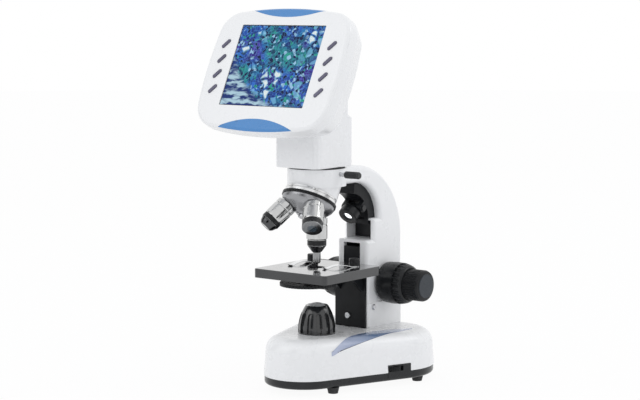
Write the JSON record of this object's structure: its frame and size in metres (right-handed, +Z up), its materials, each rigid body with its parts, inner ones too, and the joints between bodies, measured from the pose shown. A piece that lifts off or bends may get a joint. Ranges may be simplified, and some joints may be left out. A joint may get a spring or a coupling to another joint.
{
  "type": "compound microscope with screen head",
  "caption": "Compound microscope on a wide base, with a focusing stage, a tilted objective turret, upper and lower lamps, and a swivelling screen head in place of an eyepiece.",
  "frame": {"origin": "table level, under the middle of the overall width and depth", "axes": "+Z up; -Y is the front, where the screen faces; +X is the side with the clamping screw's knob"},
  "size_m": [0.1646, 0.2255, 0.3738],
  "materials": {
    "accent_blue": "blue-grey inlay",
    "arm_enamel": "white enamel on cast aluminium",
    "black_anodised": "black anodised",
    "black_plastic": "fine matt black",
    "black_rubber": "matt rubber",
    "brass": "machined brass",
    "button_grey": "soft dark grey",
    "frosted_lens": "frosted diffuser",
    "knob_black": "satin black moulding",
    "lcd_glass": "screen under a clear window",
    "lens_glass": "clear glass",
    "objective_chrome": "satin silver",
    "pcb_green": "circuit board",
    "spring_steel": "polished spring steel",
    "stage_black": "black satin coating on cast aluminium",
    "steel": "fine machined",
    "trim_blue": "sky blue trim",
    "white_paint": "smooth white moulded shell"
  },
  "bodies": {
    "stand": {"base_shell": "white_paint", "base_plate": "black_plastic", "base_feet": "black_rubber", "base_accents": "accent_blue", "stand_fasteners": "steel", "back_ports": "black_plastic", "dimmer_spindle": "black_plastic", "power_board": "pcb_green", "lower_lamp_housing": "black_plastic", "lower_lamp_lens": "frosted_lens", "lower_lamp_led": "frosted_lens", "arm": "arm_enamel", "focus_bushes": "brass", "slide_gibs": "brass", "upper_lamp_bracket": "black_plastic", "nosepiece_base": "black_anodised", "neck_washer": "black_rubber"},
    "rocker": {"light_switch": "black_plastic"},
    "dimmer": {"dimmer_wheel": "black_plastic"},
    "clamp": {"head_thumbscrew": "knob_black"},
    "head": {"neck_housing": "white_paint", "camera_module": "black_anodised", "display_bezel": "white_paint", "display_rear_shell": "white_paint", "display_trims": "trim_blue", "lcd_panel": "lcd_glass", "display_board": "pcb_green", "display_screws": "steel"},
    "stage": {"carriage": "stage_black", "focus_rack": "steel", "stage_plate": "stage_black", "stage_fasteners": "steel"},
    "coarse_focus": {"coarse_knob_right": "knob_black", "coarse_knob_left": "knob_black", "pinion_sleeve": "steel"},
    "fine_focus": {"fine_shaft": "steel", "fine_knob_right": "knob_black", "fine_knob_left": "knob_black"},
    "diaphragm": {"diaphragm_disc": "black_anodised"},
    "clip_right": {"clip_knob_right": "knob_black", "clip_spring_right": "spring_steel"},
    "clip_left": {"clip_knob_left": "knob_black", "clip_spring_left": "spring_steel"},
    "turret": {"turret": "objective_chrome", "turret_grip_ring": "black_anodised", "objective_long": "objective_chrome", "objective_short": "objective_chrome", "objective_medium": "objective_chrome", "objective_bands": "black_anodised", "objective_lenses": "lens_glass"},
    "upper_lamp": {"upper_lamp_head": "black_plastic", "upper_lamp_lens": "frosted_lens"},
    "button_left_1": {"button_left_1": "button_grey"},
    "button_left_2": {"button_left_2": "button_grey"},
    "button_left_3": {"button_left_3": "button_grey"},
    "button_left_4": {"button_left_4": "button_grey"},
    "button_right_1": {"button_right_1": "button_grey"},
    "button_right_2": {"button_right_2": "button_grey"},
    "button_right_3": {"button_right_3": "button_grey"},
    "button_right_4": {"button_right_4": "button_grey"}
  },
  "joints": [
    {"name": "head_swivel", "type": "hinge", "parent": "stand", "child": "head", "pos_m": [0, -0.01534, 0.21], "axis": [0, 0, 1], "range_deg": [-160, 160]},
    {"name": "clamp_turn", "type": "hinge", "parent": "stand", "child": "clamp", "pos_m": [0.03, -0.01534, 0.2128], "axis": [1, 0, 0], "range_deg": [-270, 90]},
    {"name": "turret_turn", "type": "hinge", "parent": "stand", "child": "turret", "pos_m": [0, -0.01534, 0.2096], "axis": [0, -0.4695, -0.8829], "continuous": true},
    {"name": "upper_lamp_tilt", "type": "hinge", "parent": "stand", "child": "upper_lamp", "pos_m": [0, 0.04515, 0.17311], "axis": [1, 0, 0], "range_deg": [-15, 15]},
    {"name": "stage_travel", "type": "slide", "parent": "stand", "child": "stage", "axis": [0, 0, 1], "range_m": [-0.018, 0.0035]},
    {"name": "coarse_turn", "type": "hinge", "parent": "stand", "child": "coarse_focus", "pos_m": [0, 0.07346, 0.0954], "axis": [1, 0, 0], "range_deg": [-33, 163]},
    {"name": "fine_turn", "type": "hinge", "parent": "coarse_focus", "child": "fine_focus", "pos_m": [0, 0.07346, 0.0954], "axis": [1, 0, 0], "continuous": true},
    {"name": "diaphragm_turn", "type": "hinge", "parent": "stage", "child": "diaphragm", "pos_m": [0, -0.02934, 0.104], "axis": [0, 0, 1], "continuous": true},
    {"name": "clip_right_swing", "type": "hinge", "parent": "stage", "child": "clip_right", "pos_m": [0.0265, 0.01166, 0.119], "axis": [0, 0, 1], "range_deg": [-50, 70]},
    {"name": "clip_left_swing", "type": "hinge", "parent": "stage", "child": "clip_left", "pos_m": [-0.0265, 0.01166, 0.119], "axis": [0, 0, 1], "range_deg": [-70, 50]},
    {"name": "dimmer_turn", "type": "hinge", "parent": "stand", "child": "dimmer", "pos_m": [0.06006, 0.02994, 0.017], "axis": [0, 0, 1], "range_deg": [0, 270]},
    {"name": "rocker_tilt", "type": "hinge", "parent": "stand", "child": "rocker", "pos_m": [0.013, 0.10657, 0.03], "axis": [0, 0, 1], "range_deg": [-8, 8]},
    {"name": "button_left_1_press", "type": "slide", "parent": "head", "child": "button_left_1", "axis": [0, 0.9, -0.4359], "range_m": [0, 0.0008], "stiffness_N_per_m": 400, "springref_m": -0.0006},
    {"name": "button_left_2_press", "type": "slide", "parent": "head", "child": "button_left_2", "axis": [0, 0.9, -0.4359], "range_m": [0, 0.0008], "stiffness_N_per_m": 400, "springref_m": -0.0006},
    {"name": "button_left_3_press", "type": "slide", "parent": "head", "child": "button_left_3", "axis": [0, 0.9, -0.4359], "range_m": [0, 0.0008], "stiffness_N_per_m": 400, "springref_m": -0.0006},
    {"name": "button_left_4_press", "type": "slide", "parent": "head", "child": "button_left_4", "axis": [0, 0.9, -0.4359], "range_m": [0, 0.0008], "stiffness_N_per_m": 400, "springref_m": -0.0006},
    {"name": "button_right_1_press", "type": "slide", "parent": "head", "child": "button_right_1", "axis": [0, 0.9, -0.4359], "range_m": [0, 0.0008], "stiffness_N_per_m": 400, "springref_m": -0.0006},
    {"name": "button_right_2_press", "type": "slide", "parent": "head", "child": "button_right_2", "axis": [0, 0.9, -0.4359], "range_m": [0, 0.0008], "stiffness_N_per_m": 400, "springref_m": -0.0006},
    {"name": "button_right_3_press", "type": "slide", "parent": "head", "child": "button_right_3", "axis": [0, 0.9, -0.4359], "range_m": [0, 0.0008], "stiffness_N_per_m": 400, "springref_m": -0.0006},
    {"name": "button_right_4_press", "type": "slide", "parent": "head", "child": "button_right_4", "axis": [0, 0.9, -0.4359], "range_m": [0, 0.0008], "stiffness_N_per_m": 400, "springref_m": -0.0006}
  ],
  "couplings": [
    {"joint": "coarse_turn", "follows": "stage_travel", "rad_per_m": -156.25}
  ]
}
